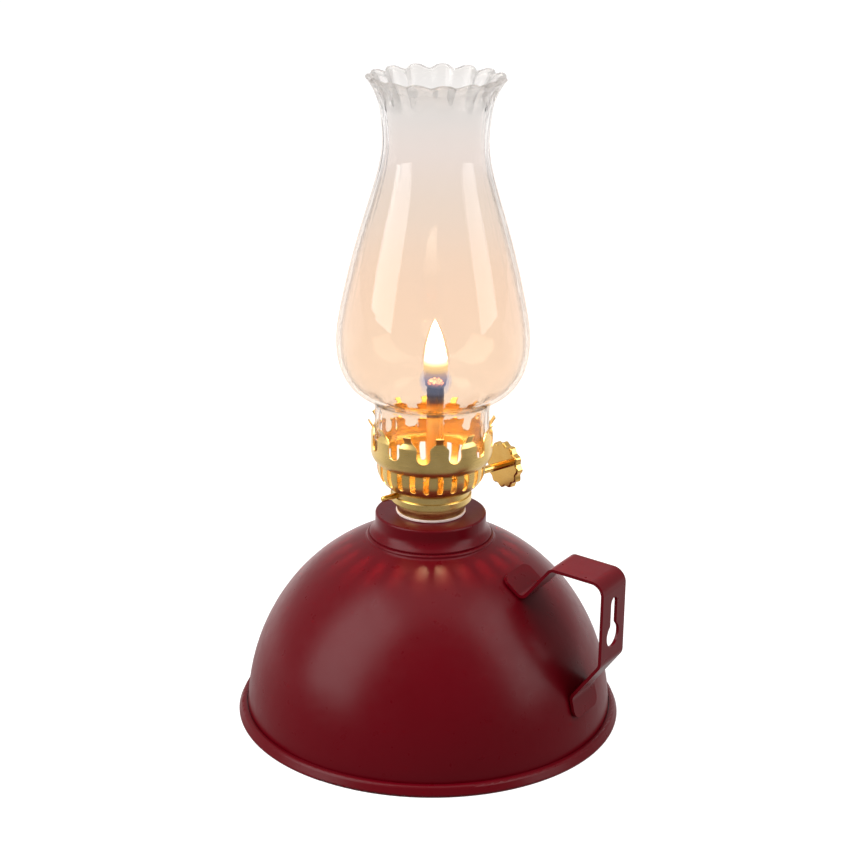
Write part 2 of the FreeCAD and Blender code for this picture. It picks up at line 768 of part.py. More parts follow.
def make_chimney_glass():
    """The blown chimney: straight foot, bulb, narrow neck and a flared, scalloped lip."""
    section = glass_section()
    columns = LIP_WAVES * WAVE_COLUMNS
    net = []
    for i in range(columns):
        turn = 2 * math.pi * i / columns
        phase = LIP_WAVES * turn
        wave = math.cos(phase) - LIP_SCALLOP * math.cos(2 * phase)
        azimuth = turn + math.radians(LIP_CREST_AZ)
        line = []
        for spot in section:
            share = lip_share(spot.z) * wave
            radius = spot.x + LIP_WAVE_R * share
            height = spot.z + LIP_WAVE_Z * share
            line.append(V(radius * math.cos(azimuth), radius * math.sin(azimuth), height))
        net.append(line)
    round_knots, round_mults = even_knots(columns, 3, True)
    up_knots, up_mults = even_knots(len(section), 3, False)
    skin = Part.BSplineSurface()
    skin.buildFromPolesMultsKnots(
        net, round_mults, up_mults, round_knots, up_knots, True, False, 3, 3)
    faces = []
    top = len(section) - 3
    splits = [0, top // 4, top // 2, top - top // 4, top]
    for i in range(LIP_WAVES):
        for low, high in zip(splits, splits[1:]):
            patch = skin.copy()
            patch.segment(i * WAVE_COLUMNS, (i + 1) * WAVE_COLUMNS, low, high)
            faces.append(patch.toShape())
    rims = [e for f in faces for e in f.Edges if on_foot(e)]
    outer = [e for e in rims if radius_at(e) > GLASS_FOOT_R - GLASS_T / 2.0]
    inner = [e for e in rims if radius_at(e) < GLASS_FOOT_R - GLASS_T / 2.0]
    loops = [Part.Wire(Part.__sortEdges__(edges)) for edges in (outer, inner)]
    shell = Part.makeShell(faces + [Part.Face(loops)])
    shell.sewShape()
    return Part.Solid(shell)


# ---------------------------------------------------------------- output
NODES = {
    "fount_shell": make_fount_shell,
    "bottom_plate": make_bottom_plate,
    "neck_cap": make_neck_cap,
    "thread_collar": make_thread_collar,
    "handle_strap": make_handle_strap,
    "burner_gasket": make_burner_gasket,
    "burner_base": make_burner_base,
    "base_ring": make_base_ring,
    "tube_plate": make_tube_plate,
    "air_basket": make_air_basket,
    "gallery_crown": make_gallery_crown,
    "wick_tube": make_wick_tube,
    "wheel_guard": make_wheel_guard,
    "spindle_bushes": make_spindle_bushes,
    "wick_spindle": make_wick_spindle,
    "wick_wheels": make_wick_wheels,
    "knob_hub": make_knob_hub,
    "knob_disc": make_knob_disc,
    "knob_rivet": make_knob_rivet,
    "wick": make_wick,
    "chimney_glass": make_chimney_glass,
}

os.makedirs("parts", exist_ok=True)
for name, make in NODES.items():
    shape = make()
    shape.exportStep("parts/" + name + ".step")
    print(name, len(shape.Solids), shape.isValid(), round(shape.Volume, 1))
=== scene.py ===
"""Looks of the oil lamp: finishes, the wick's frayed end, the flame, the light and the camera.

Everything is in metres in the CAD frame: origin at the centre of the foot, +Z up, handle towards +X.
"""

import json
import math

import bmesh
import bpy
from mathutils import Matrix, Vector

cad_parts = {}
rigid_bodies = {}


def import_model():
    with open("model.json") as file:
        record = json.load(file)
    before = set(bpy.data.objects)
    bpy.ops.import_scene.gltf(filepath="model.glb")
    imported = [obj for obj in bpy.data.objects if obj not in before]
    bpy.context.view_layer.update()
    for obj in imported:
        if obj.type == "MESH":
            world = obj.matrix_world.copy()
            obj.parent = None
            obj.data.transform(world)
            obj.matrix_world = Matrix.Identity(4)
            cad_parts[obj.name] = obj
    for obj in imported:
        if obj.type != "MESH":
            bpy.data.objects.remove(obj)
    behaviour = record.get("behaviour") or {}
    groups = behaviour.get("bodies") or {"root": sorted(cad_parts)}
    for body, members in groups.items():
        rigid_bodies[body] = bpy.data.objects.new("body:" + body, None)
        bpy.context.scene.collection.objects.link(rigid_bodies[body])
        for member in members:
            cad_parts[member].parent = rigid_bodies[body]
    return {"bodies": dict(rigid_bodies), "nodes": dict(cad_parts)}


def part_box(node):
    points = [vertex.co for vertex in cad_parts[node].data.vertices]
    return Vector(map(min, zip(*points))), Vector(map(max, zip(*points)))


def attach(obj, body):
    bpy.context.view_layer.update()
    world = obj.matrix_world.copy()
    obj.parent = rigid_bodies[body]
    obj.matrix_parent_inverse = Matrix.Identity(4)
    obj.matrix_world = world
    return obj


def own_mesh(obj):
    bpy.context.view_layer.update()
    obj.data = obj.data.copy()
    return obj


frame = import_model()
bpy.context.view_layer.update()

MM = 0.001
NODES = frame["nodes"]

# ---------------------------------------------------------------- camera
CAMERA_AT = Vector((0.3834, -0.6120, 0.3722))
CAMERA_AZIMUTH = 32.0          # degrees, where 0 looks along +Y
CAMERA_PITCH = 19.65           # degrees below the horizon
CAMERA_ROLL = 0.8              # degrees, the picture's top leaning right
CAMERA_LENS = 83.65            # millimetres
CAMERA_SENSOR = 36.0           # millimetres across the picture


def make_camera():
    """Stands the camera where the photograph was taken from."""
    turn = math.radians(CAMERA_AZIMUTH)
    dip = math.radians(CAMERA_PITCH)
    roll = math.radians(CAMERA_ROLL)
    level = Vector((-math.sin(turn), math.cos(turn), 0))
    ahead = level * math.cos(dip) - Vector((0, 0, math.sin(dip)))
    right = ahead.cross(Vector((0, 0, 1))).normalized()
    up = right.cross(ahead)
    right, up = right * math.cos(roll) + up * math.sin(roll), up * math.cos(roll) - right * math.sin(roll)
    data = bpy.data.cameras.new("camera")
    data.lens = CAMERA_LENS
    data.sensor_width = CAMERA_SENSOR
    data.clip_start = 0.01
    data.clip_end = 50.0
    camera = bpy.data.objects.new("camera", data)
    bpy.context.scene.collection.objects.link(camera)
    camera.matrix_world = Matrix((
        (right.x, up.x, -ahead.x, CAMERA_AT.x),
        (right.y, up.y, -ahead.y, CAMERA_AT.y),
        (right.z, up.z, -ahead.z, CAMERA_AT.z),
        (0, 0, 0, 1),
    ))
    bpy.context.scene.camera = camera


# ---------------------------------------------------------------- node helpers
class Tree:
    """A small writer for a material's nodes."""

    def __init__(self, name):
        self.material = bpy.data.materials.new(name)
        self.material.use_nodes = True
        self.nodes = self.material.node_tree.nodes
        self.links = self.material.node_tree.links
        self.nodes.clear()
        self.output = self.nodes.new("ShaderNodeOutputMaterial")

    def add(self, kind, **sockets):
        node = self.nodes.new("ShaderNode" + kind)
        for name, value in sockets.items():
            self.feed(node, name.replace("_", " "), value)
        return node

    def feed(self, node, name, value):
        """Sets an input, or links it when the value is another node's output."""
        socket = node.inputs[name]
        if isinstance(value, bpy.types.NodeSocket):
            self.links.new(value, socket)
        else:
            socket.default_value = value

    def math(self, operation, a, b=None):
        node = self.nodes.new("ShaderNodeMath")
        node.operation = operation
        for i, value in enumerate((a, b)):
            if value is None:
                continue
            if isinstance(value, bpy.types.NodeSocket):
                self.links.new(value, node.inputs[i])
            else:
                node.inputs[i].default_value = value
        return node.outputs[0]

    def place(self):
        """Position on the piece, in metres of the CAD frame at rest."""
        return self.add("TexCoord").outputs["Object"]

    def split(self, vector):
        node = self.add("SeparateXYZ", Vector=vector)
        return node.outputs["X"], node.outputs["Y"], node.outputs["Z"]

    def join(self, x, y, z):
        return self.add("CombineXYZ", X=x, Y=y, Z=z).outputs[0]

    def scaled(self, vector, factors):
        node = self.nodes.new("ShaderNodeVectorMath")
        node.operation = "MULTIPLY"
        self.links.new(vector, node.inputs[0])
        node.inputs[1].default_value = factors
        return node.outputs[0]

    def noise(self, vector, scale, detail=2.0, rough=0.5):
        node = self.add("TexNoise", Vector=vector, Scale=scale, Detail=detail, Roughness=rough)
        return node.outputs["Fac"]

    def ramp(self, value, stops, interpolation="LINEAR"):
        """Colours along a value: stops are (position, (r, g, b))."""
        node = self.add("ValToRGB", Fac=value)
        ramp = node.color_ramp
        ramp.interpolation = interpolation
        while len(ramp.elements) < len(stops):
            ramp.elements.new(0.5)
        for element, (position, colour) in zip(ramp.elements, stops):
            element.position = position
            element.color = (*colour, 1.0)
        return node.outputs["Color"]

    def span(self, value, low, high, to_low, to_high):
        node = self.nodes.new("ShaderNodeMapRange")
        self.links.new(value, node.inputs["Value"])
        node.inputs["From Min"].default_value = low
        node.inputs["From Max"].default_value = high
        node.inputs["To Min"].default_value = to_low
        node.inputs["To Max"].default_value = to_high
        return node.outputs["Result"]

    def mix(self, factor, a, b):
        node = self.nodes.new("ShaderNodeMix")
        node.data_type = "RGBA"
        for socket, value in ((node.inputs[0], factor), (node.inputs[6], a), (node.inputs[7], b)):
            if isinstance(value, bpy.types.NodeSocket):
                self.links.new(value, socket)
            elif isinstance(value, tuple):
                socket.default_value = (*value, 1.0)
            else:
                socket.default_value = value
        return node.outputs[2]

    def bump(self, height, distance, strength, normal=None):
        node = self.add("Bump", Height=height, Distance=distance, Strength=strength)
        if normal is not None:
            self.links.new(normal, node.inputs["Normal"])
        return node.outputs["Normal"]

    def rounded(self, radius):
        """Normals that soften each sharp edge by a small radius."""
        node = self.nodes.new("ShaderNodeBevel")
        node.samples = 6
        node.inputs["Radius"].default_value = radius
        return node.outputs["Normal"]

    def done(self, shader):
        self.links.new(shader, self.output.inputs["Surface"])
        return self.material


# ---------------------------------------------------------------- finishes
GLASS_IOR = 1.47
GLASS_SHINE = (0.35, 0.35, 0.35, 1.0)        # tint of the reflections, which keeps them dim
GLASS_EDGE = (0.70, 0.94, 0.0, 0.80)         # from and to in Facing, then how much thin glass it brings
GLASS_RIM_DEPTHS = (12.0 * MM, 2.5 * MM)     # below the top: where the thin rim starts and is full
GLASS_RIM_SHARE = 0.55                       # how much thin glass the rim brings
FLAME_POWER = 10.0                           # emission at strength 1 in a flame's table


def red_paint():
    """Satin burgundy stove enamel on steel, with a fine orange peel."""
    t = Tree("red_paint")
    place = t.place()
    cloud = t.noise(place, 38.0, 3.0)
    colour = t.mix(cloud, (0.082, 0.0002, 0.0026), (0.094, 0.0004, 0.0040))
    shine = t.span(t.noise(place, 220.0, 4.0), 0.3, 0.7, 0.27, 0.34)
    peel = t.bump(t.noise(place, 720.0, 2.0), 0.00004, 0.25)
    shader = t.add("BsdfPrincipled", Base_Color=colour, Roughness=shine, Normal=peel)
    shader.inputs["Specular IOR Level"].default_value = 0.13
    return t.done(shader.outputs[0])


def turned_marks(t, place, scale):
    """Noise that runs in rings round the lamp's axis, as brushing on a lathe leaves."""
    x, y, z = t.split(place)
    radius = t.math("SQRT", t.math("ADD", t.math("MULTIPLY", x, x), t.math("MULTIPLY", y, y)))
    around = t.math("MULTIPLY", t.math("ARCTAN2", y, x), 0.0006)
    return t.noise(t.join(radius, around, z), scale, 3.0, 0.6)


def brass(name, dark, bright, roughness, ring_strength, edge):
    """Lacquered brass: a warm metal with lathe rings, faint clouds of patina and softened edges."""
    t = Tree(name)
    place = t.place()
    cloud = t.noise(place, 130.0, 4.0, 0.55)
    colour = t.mix(t.span(cloud, 0.3, 0.7, 0.0, 1.0), dark, bright)
    rings = turned_marks(t, place, 5200.0)
    shine = t.span(rings, 0.3, 0.7, roughness - 0.05, roughness + 0.07)
    normal = t.bump(rings, 0.00002, ring_strength, t.rounded(edge))
    shader = t.add("BsdfPrincipled", Base_Color=colour, Roughness=shine, Normal=normal, Metallic=1.0)
    return t.done(shader.outputs[0])


def heat_tint_and_painted_flame_reflection(top):
    """Brass, blue-grey at the top, then brown, then gold: heat tint, with a painted reflection of the blue
    flame at the top.
    """
    t = Tree("heated_brass_with_painted_flame_reflection")
    place = t.place()
    _, _, z = t.split(place)
    streaks = t.noise(t.scaled(place, (1400.0, 1400.0, 25.0)), 1.0, 3.0, 0.6)
    waver = t.math("MULTIPLY", t.math("SUBTRACT", streaks, 0.5), 2.5 * MM)
    depth = t.math("SUBTRACT", top, t.math("ADD", z, waver))
    share = t.span(depth, 0.0, 16.0 * MM, 0.0, 1.0)
    # Painted reflection: the dark blue-grey at the top stands for the blue flame mirrored in the tube; the
    # brown and gold below are heat tint.
    colour = t.ramp(share, [
        (0.00, (0.020, 0.020, 0.032)),
        (0.22, (0.055, 0.060, 0.105)),
        (0.38, (0.120, 0.085, 0.090)),
        (0.50, (0.480, 0.210, 0.070)),
        (0.64, (0.860, 0.520, 0.140)),
        (1.00, (0.880, 0.620, 0.230)),
    ])
    shine = t.span(streaks, 0.3, 0.7, 0.24, 0.42)
    normal = t.bump(streaks, 0.00005, 0.4)
    shader = t.add("BsdfPrincipled", Base_Color=colour, Roughness=shine, Normal=normal, Metallic=1.0)
    return t.done(shader.outputs[0])


def seal_rubber():
    """Pale, matt rubber with a fine grain."""
    t = Tree("seal_rubber")
    place = t.place()
    grain = t.noise(place, 900.0, 3.0)
    colour = t.mix(grain, (0.60, 0.47, 0.44), (0.74, 0.62, 0.58))
    normal = t.bump(grain, 0.00005, 0.5)
    shader = t.add("BsdfPrincipled", Base_Color=colour, Roughness=0.55, Normal=normal)
    return t.done(shader.outputs[0])


def wick_cotton(tip):
    """Cotton yarn, oil-soaked below and charred at the tip, where embers show."""
    t = Tree("wick_cotton")
    place = t.place()
    _, _, z = t.split(place)
    fluff = t.noise(place, 2600.0, 3.0, 0.6)
    ragged = t.math("MULTIPLY", t.math("SUBTRACT", t.noise(place, 700.0, 2.0), 0.5), 1.6 * MM)
    depth = t.span(t.math("SUBTRACT", tip, t.math("ADD", z, ragged)), 0.0, 4.0 * MM, 0.0, 1.0)
    colour = t.ramp(depth, [
        (0.0, (0.30, 0.12, 0.07)),
        (0.30, (0.060, 0.022, 0.016)),
        (0.62, (0.030, 0.018, 0.016)),
        (0.85, (0.30, 0.22, 0.15)),
        (1.0, (0.72, 0.66, 0.54)),
    ])
    glow = t.ramp(depth, [(0.0, (1.0, 0.52, 0.27)), (0.22, (0.60, 0.16, 0.07)), (0.40, (0.0, 0.0, 0.0))])
    power = t.span(fluff, 0.42, 0.62, 0.0, 2.2)
    normal = t.bump(fluff, 0.0002, 0.8)
    shader = t.add("BsdfPrincipled", Base_Color=colour, Roughness=0.9, Normal=normal)
    t.feed(shader, "Emission Color", glow)
    t.feed(shader, "Emission Strength", power)
    return t.done(shader.outputs[0])


def clear_glass(low, high):
    """Thin blown glass with the flame's glow painted in as a warmer tint near the flame, that casts almost
    no shadow.

    At grazing angles and towards the rim it turns into a plain see-through film.
    """
    t = Tree("clear_glass")
    place = t.place()
    _, _, z = t.split(place)
    height = t.span(z, low, high, 0.0, 1.0)
    # Painted glow: the warm peach tint low down stands for the flame's light on the glass, and it turns
    # greyer towards the top.
    tint = t.ramp(height, [
        (0.00, (0.905, 0.785, 0.675)),
        (0.21, (0.880, 0.745, 0.630)),
        (0.45, (0.880, 0.745, 0.640)),
        (0.69, (0.845, 0.770, 0.710)),
        (0.79, (0.850, 0.795, 0.765)),
        (0.94, (0.825, 0.805, 0.790)),
    ], "EASE")
    ripple = t.bump(t.noise(t.scaled(place, (1.0, 1.0, 0.35)), 55.0, 1.0), 0.0002, 0.10)
    glass = t.add("BsdfPrincipled", Base_Color=tint, Roughness=0.0, IOR=GLASS_IOR, Normal=ripple)
    glass.inputs["Transmission Weight"].default_value = 1.0
    glass.inputs["Specular Tint"].default_value = GLASS_SHINE
    # The see-through film carries the same painted flame glow, paled.
    thin = t.add("BsdfTransparent", Color=t.mix(0.3, tint, (1.0, 0.97, 0.94)))
    glancing = t.add("LayerWeight", Blend=0.5).outputs["Facing"]
    edge = t.span(glancing, *GLASS_EDGE)
    rim_from, rim_full = GLASS_RIM_DEPTHS
    rim = t.span(z, high - rim_from, high - rim_full, 0.0, GLASS_RIM_SHARE)
    soft = t.nodes.new("ShaderNodeMixShader")
    t.links.new(t.math("MAXIMUM", edge, rim), soft.inputs[0])
    t.links.new(glass.outputs[0], soft.inputs[1])
    t.links.new(thin.outputs[0], soft.inputs[2])
    through = t.add("BsdfTransparent", Color=(0.96, 0.95, 0.93, 1.0))
    shadow = t.add("LightPath").outputs["Is Shadow Ray"]
    both = t.nodes.new("ShaderNodeMixShader")
    t.links.new(shadow, both.inputs[0])
    t.links.new(soft.outputs[0], both.inputs[1])
    t.links.new(through.outputs[0], both.inputs[2])
    return t.done(both.outputs[0])


def flame_finish(name, low, high, colours, strengths, alphas):
    """Light by height in one shell of the flame; clear where alpha is low."""
    t = Tree(name)
    _, _, z = t.split(t.place())
    height = t.span(z, low, high, 0.0, 1.0)
    colour = t.ramp(height, colours, "EASE")
    power = t.ramp(height, [(p, (v, v, v)) for p, v in strengths], "EASE")
    cover = t.ramp(height, [(p, (v, v, v)) for p, v in alphas], "EASE")
    light = t.add("Emission", Color=colour)
    t.feed(light, "Strength", t.math("MULTIPLY", power, FLAME_POWER))
    clear = t.add("BsdfTransparent", Color=(1.0, 1.0, 1.0, 1.0))
    both = t.nodes.new("ShaderNodeMixShader")
    t.links.new(cover, both.inputs[0])
    t.links.new(clear.outputs[0], both.inputs[1])
    t.links.new(light.outputs[0], both.inputs[2])
    return t.done(both.outputs[0])


def dress(finish, *names):
    """Gives CAD nodes a finish."""
    for name in names:
        materials = NODES[name].data.materials
        materials.clear()
        materials.append(finish)


# ---------------------------------------------------------------- mesh helpers
POLE_RADIUS = 1e-7             # a ring smaller than this is one point


def add_piece(name, mesh, finish, body):
    """Adds a smooth piece that has no CAD solid and rides on a body."""
    piece = bpy.data.objects.new(name, mesh)
    bpy.context.scene.collection.objects.link(piece)
    mesh.materials.append(finish)
    for polygon in mesh.polygons:
        polygon.use_smooth = True
    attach(piece, body)
    return piece


def mesh_from(name, points, faces):
    """A checked mesh from points and faces."""
    mesh = bpy.data.meshes.new(name)
    mesh.from_pydata([tuple(p) for p in points], [], faces)
    mesh.validate()
    mesh.update()
    return mesh


def lathe(name, profile, centre, segments, shift=None):
    """A closed skin turned about a vertical axis.

    The profile runs from pole to pole as (radius, z), and shift(z) moves each ring sideways.
    """
    points = []
    faces = []
    rings = []
    for radius, z in profile:
        drift = shift(z) if shift else Vector((0, 0, 0))
        middle = Vector((centre.x, centre.y, z)) + drift
        if radius < POLE_RADIUS:
            rings.append([len(points)])
            points.append(middle)
            continue
        rings.append(list(range(len(points), len(points) + segments)))
        for i in range(segments):
            angle = 2 * math.pi * i / segments
            points.append(middle + Vector((radius * math.cos(angle), radius * math.sin(angle), 0)))
    for low, high in zip(rings, rings[1:]):
        for i in range(segments):
            j = (i + 1) % segments
            if len(low) == 1:
                faces.append((low[0], high[j], high[i]))
            elif len(high) == 1:
                faces.append((low[i], low[j], high[0]))
            else:
                faces.append((low[i], low[j], high[j], high[i]))
    return mesh_from(name, points, faces)


# ---------------------------------------------------------------- wick tip
# Each ring of yarn ends: how many, then in millimetres the roots' radius, how far the tips spread
# beyond it, and how far they rise above the wick's top.
FRAY_RINGS = (
    (11, 1.9, 1.30, -0.2),
    (7, 1.2, 0.65, 0.5),
    (4, 0.5, 0.25, 0.8),
)
FRAY_ROOT_DEPTH = 2.2 * MM     # below the wick's top
FRAY_SWIRL = 0.35              # millimetres, sideways, at most
FRAY_UNEVEN = 0.45             # millimetres, up or down, at most
YARN_RADIUS = 0.62             # millimetres
YARN_VARIES = 0.1              # millimetres


def yarn_end(root, tip, radius, points, faces, rings=7, sides=10):
    """Adds one frayed yarn end: a closed, round-nosed strand from root to tip."""
    run = tip - root
    upright = abs(run.z) >= 0.9 * run.length
    side = run.cross(Vector((1, 0, 0)) if upright else Vector((0, 0, 1))).normalized()
    other = run.cross(side).normalized()
    first = len(points)
    points.append(root)
    for k in range(1, rings):
        share = k / rings
        lumps = 1.0 + 0.15 * math.sin(9.0 * share + radius / MM)
        girth = radius * math.sqrt(math.sin(math.pi * share)) * lumps
        middle = root + run * share + Vector((0, 0, 0.25 * radius * math.sin(math.pi * share)))
        for j in range(sides):
            angle = 2 * math.pi * (j / sides + 0.35 * share)
            points.append(middle + (side * math.cos(angle) + other * math.sin(angle)) * girth)
    points.append(tip)
    last = len(points) - 1
    for j in range(sides):
        n = (j + 1) % sides
        faces.append((first, first + 1 + n, first + 1 + j))
        for k in range(rings - 2):
            low = first + 1 + k * sides
            faces.append((low + j, low + n, low + sides + n, low + sides + j))
        low = first + 1 + (rings - 2) * sides
        faces.append((low + j, low + n, last))


def wick_fray(centre, top):
    """The braid's cut end: yarn ends in three uneven rings that spread over the tube's rim."""
    points = []
    faces = []
    for count, reach, spread, rise in FRAY_RINGS:
        for i in range(count):
            angle = 2 * math.pi * (i + 0.37 * reach) / count
            uneven = math.sin(5.1 * i + 3.0 * reach)
            out = Vector((math.cos(angle), math.sin(angle), 0))
            swirl = Vector((-out.y, out.x, 0)) * (FRAY_SWIRL * uneven)
            root = centre + out * (reach * MM) + Vector((0, 0, top - FRAY_ROOT_DEPTH))
            level = Vector((0, 0, top + (rise + FRAY_UNEVEN * uneven) * MM))
            tip = centre + (out * (reach + spread) + swirl) * MM + level
            yarn_end(root, tip, (YARN_RADIUS + YARN_VARIES * uneven) * MM, points, faces)
    return mesh_from("wick_fray", points, faces)


# ---------------------------------------------------------------- flame shapes
def flame_profile(low, high, belly, belly_at, foot, steps=40):
    """A teardrop: a rounded foot, widest at the belly, then a long taper to the tip."""
    profile = []
    for i in range(steps + 1):
        share = i / steps
        z = low + (high - low) * share
        if share < belly_at:
            part = share / belly_at
            radius = foot + (belly - foot) * math.sin(part * math.pi / 2)
            radius *= min(1.0, math.sqrt(max(part, 0.0) * 6))
        else:
            part = (share - belly_at) / (1 - belly_at)
            radius = belly * (1 - part ** 1.75) ** 0.92
        profile.append((max(radius, 0.0), z))
    profile[0] = (0.0, low)
    profile[-1] = (0.0, high)
    return profile


make_camera()

# ---------------------------------------------------------------- dress the CAD pieces
PAINT = red_paint()
SATIN = brass("satin_brass", (0.66, 0.46, 0.155), (0.80, 0.58, 0.22), 0.30, 0.30, 0.12 * MM)
POLISHED = brass("polished_brass", (0.80, 0.45, 0.11), (0.86, 0.53, 0.16), 0.14, 0.10, 0.10 * MM)
SEAL = seal_rubber()
tube_low, tube_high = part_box("wick_tube")
HEAT_TINT_AND_FLAME_REFLECTION = heat_tint_and_painted_flame_reflection(tube_high.z)
wick_low, wick_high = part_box("wick")
COTTON = wick_cotton(wick_high.z)
glass_low, glass_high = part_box("chimney_glass")
GLASS = clear_glass(glass_low.z, glass_high.z)

dress(PAINT, "fount_shell", "bottom_plate", "neck_cap", "handle_strap")
dress(SATIN, "thread_collar", "burner_base", "base_ring", "tube_plate", "air_basket", "gallery_crown")
dress(SATIN, "wheel_guard", "spindle_bushes", "wick_wheels")
dress(POLISHED, "wick_spindle", "knob_hub", "knob_disc", "knob_rivet")
dress(SEAL, "burner_gasket")
dress(HEAT_TINT_AND_FLAME_REFLECTION, "wick_tube")
dress(COTTON, "wick")
dress(GLASS, "chimney_glass")

wick_middle = (wick_low + wick_high) / 2
wick_axis = Vector((wick_middle.x, wick_middle.y, 0))
add_piece("wick_fray", wick_fray(wick_axis, wick_high.z), COTTON, "wick")


# ---------------------------------------------------------------- flame
FLAME_BASE = tube_high.z - 2.3 * MM
FLAME_TIP = tube_high.z + 26.4 * MM
FLAME_LEAN = 0.5 * MM          # sideways at the tip
FLAME_SIDES = 64
HALO_REACHES = (4.9, 5.5, 6.1)  # millimetres, the blue shells' radii
FLAME_WATTS = 1.5
FLAME_LIGHT = (1.0, 0.74, 0.40)
FLAME_LIGHT_RADIUS = 0.0035    # metres
FLAME_LIGHT_HEIGHT = 12 * MM   # above the tube
flame_centre = (tube_low + tube_high) / 2


def flame_lean(z):
    """The flame leans a little to the left of the view as it rises."""
    share = max(0.0, (z - tube_high.z) / (FLAME_TIP - tube_high.z))
    turn = math.radians(CAMERA_AZIMUTH)
    return Vector((-math.cos(turn), -math.sin(turn), 0)) * (FLAME_LEAN * share * share)


WHITE_HOT = (1.0, 0.93, 0.78)
YELLOW = (1.0, 0.78, 0.38)
PEACH = (1.0, 0.70, 0.46)
ORANGE = (1.0, 0.66, 0.28)
PINK = (1.0, 0.60, 0.50)
BLUE = (0.40, 0.56, 1.0)

core = flame_finish(
    "flame_core", FLAME_BASE, FLAME_TIP,
    [(0.0, PINK), (0.15, PINK), (0.25, PEACH), (0.37, YELLOW),
     (0.50, WHITE_HOT), (0.95, WHITE_HOT), (1.0, YELLOW)],
    [(0.0, 0.07), (0.25, 0.09), (0.36, 0.12), (0.50, 0.40), (0.90, 0.90), (1.0, 0.40)],
    [(0.0, 0.02), (0.13, 0.10), (0.24, 0.40), (0.36, 0.85), (0.46, 1.0), (1.0, 1.0)],
)
sheath = flame_finish(
    "flame_sheath", FLAME_BASE, FLAME_TIP + 1.2 * MM,
    [(0.0, PINK), (0.36, PINK), (0.5, ORANGE), (1.0, ORANGE)],
    [(0.0, 0.09), (0.4, 0.10), (0.8, 0.12), (1.0, 0.10)],
    [(0.0, 0.0), (0.30, 0.03), (0.55, 0.26), (0.80, 0.20), (1.0, 0.0)],
)
halo = flame_finish(
    "flame_halo", FLAME_BASE - 2.0 * MM, FLAME_BASE + 13.0 * MM,
    [(0.0, BLUE), (1.0, BLUE)],
    [(0.0, 0.105), (1.0, 0.105)],
    [(0.0, 0.0), (0.22, 0.07), (0.45, 0.13), (0.80, 0.06), (1.0, 0.0)],
)


def flame_piece(name, profile, finish):
    """A shell of the flame, which rides on the burner."""
    shell = lathe(name, profile, flame_centre, FLAME_SIDES, flame_lean)
    piece = add_piece(name, shell, finish, "burner")
    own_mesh(piece)


flame_piece(
    "flame_core",
    flame_profile(FLAME_BASE + 1.4 * MM, FLAME_TIP, belly=4.6 * MM, belly_at=0.30, foot=3.6 * MM),
    core)
flame_piece(
    "flame_sheath",
    flame_profile(FLAME_BASE, FLAME_TIP + 1.2 * MM, belly=5.5 * MM, belly_at=0.32, foot=4.2 * MM),
    sheath)
for layer, reach in enumerate(HALO_REACHES):
    halo_low = FLAME_BASE - 1.6 * MM
    halo_high = FLAME_BASE + (11.0 + layer) * MM
    flame_piece(
        "flame_halo_%d" % (layer + 1),
        flame_profile(halo_low, halo_high, belly=reach * MM, belly_at=0.42, foot=0.7 * reach * MM),
        halo)

lamp = bpy.data.lights.new("flame_light", "POINT")
lamp.energy = FLAME_WATTS
lamp.color = FLAME_LIGHT
lamp.shadow_soft_size = FLAME_LIGHT_RADIUS
lamp_object = bpy.data.objects.new("flame_light", lamp)
bpy.context.scene.collection.objects.link(lamp_object)
lamp_object.location = (flame_centre.x, flame_centre.y, tube_high.z + FLAME_LIGHT_HEIGHT)
lamp_object.parent = frame["bodies"]["burner"]
lamp_object.visible_camera = False
lamp_object.visible_transmission = False


# ---------------------------------------------------------------- studio
# The backdrop's brightness depends on the kind of ray that meets it: pale to look at, dimmer as a
# source of light, and darker in front of the lamp than behind it in reflections.
STUDIO_CENTRE = Vector((0, 0, 0.1))
WORLD_SEEN = (1.0, 1.0, 1.0, 1.0)
WORLD_LIGHTING = (0.36, 0.36, 0.36, 1.0)     # what diffuse rays see
WORLD_MIRRORED_BEHIND = (0.70, 0.70, 0.70, 1.0)
WORLD_MIRRORED_FRONT = (0.30, 0.29, 0.28, 1.0)
WORLD_MIRRORED_STEPS = (0.15, 0.75)          # on a scale from 0 straight behind to 1 straight in front
FLOOR_GLOW = 0.92              # keeps the floor near white to look at
FLOOR_BOUNCE = 0.12            # the glow that diffuse rays see instead, which lights the lamp from below
FLOOR_MIRRORED = (0.34, 1.30)  # how bright reflections see the floor, in front and behind
FLOOR_MIRRORED_FROM = (-0.10, 0.25)          # metres behind the lamp, where the one turns into the other
FLOOR_RADIUS = 12.0            # metres
FLOOR_DROP = 0.05 * MM         # below the lamp's foot


def around_view(azimuth, elevation, distance):
    """A place by its direction from the lamp: azimuth from the camera's side, growing to the right."""
    turn = math.radians(CAMERA_AZIMUTH + azimuth)
    rise = math.radians(elevation)
    out = Vector((math.sin(turn) * math.cos(rise), -math.cos(turn) * math.cos(rise), math.sin(rise)))
    return STUDIO_CENTRE + out * distance


def softbox(name, azimuth, elevation, distance, width, height, radiance):
    """A rectangular light that faces the lamp; sizes and distance in metres."""
    data = bpy.data.lights.new(name, "AREA")
    data.shape = "RECTANGLE"
    data.size = width
    data.size_y = height
    data.energy = radiance * math.pi * width * height
    light = bpy.data.objects.new(name, data)
    bpy.context.scene.collection.objects.link(light)
    light.location = around_view(azimuth, elevation, distance)
    light.rotation_mode = "QUATERNION"
    light.rotation_quaternion = (light.location - STUDIO_CENTRE).to_track_quat("Z", "Y")
    light.visible_camera = False
    return light


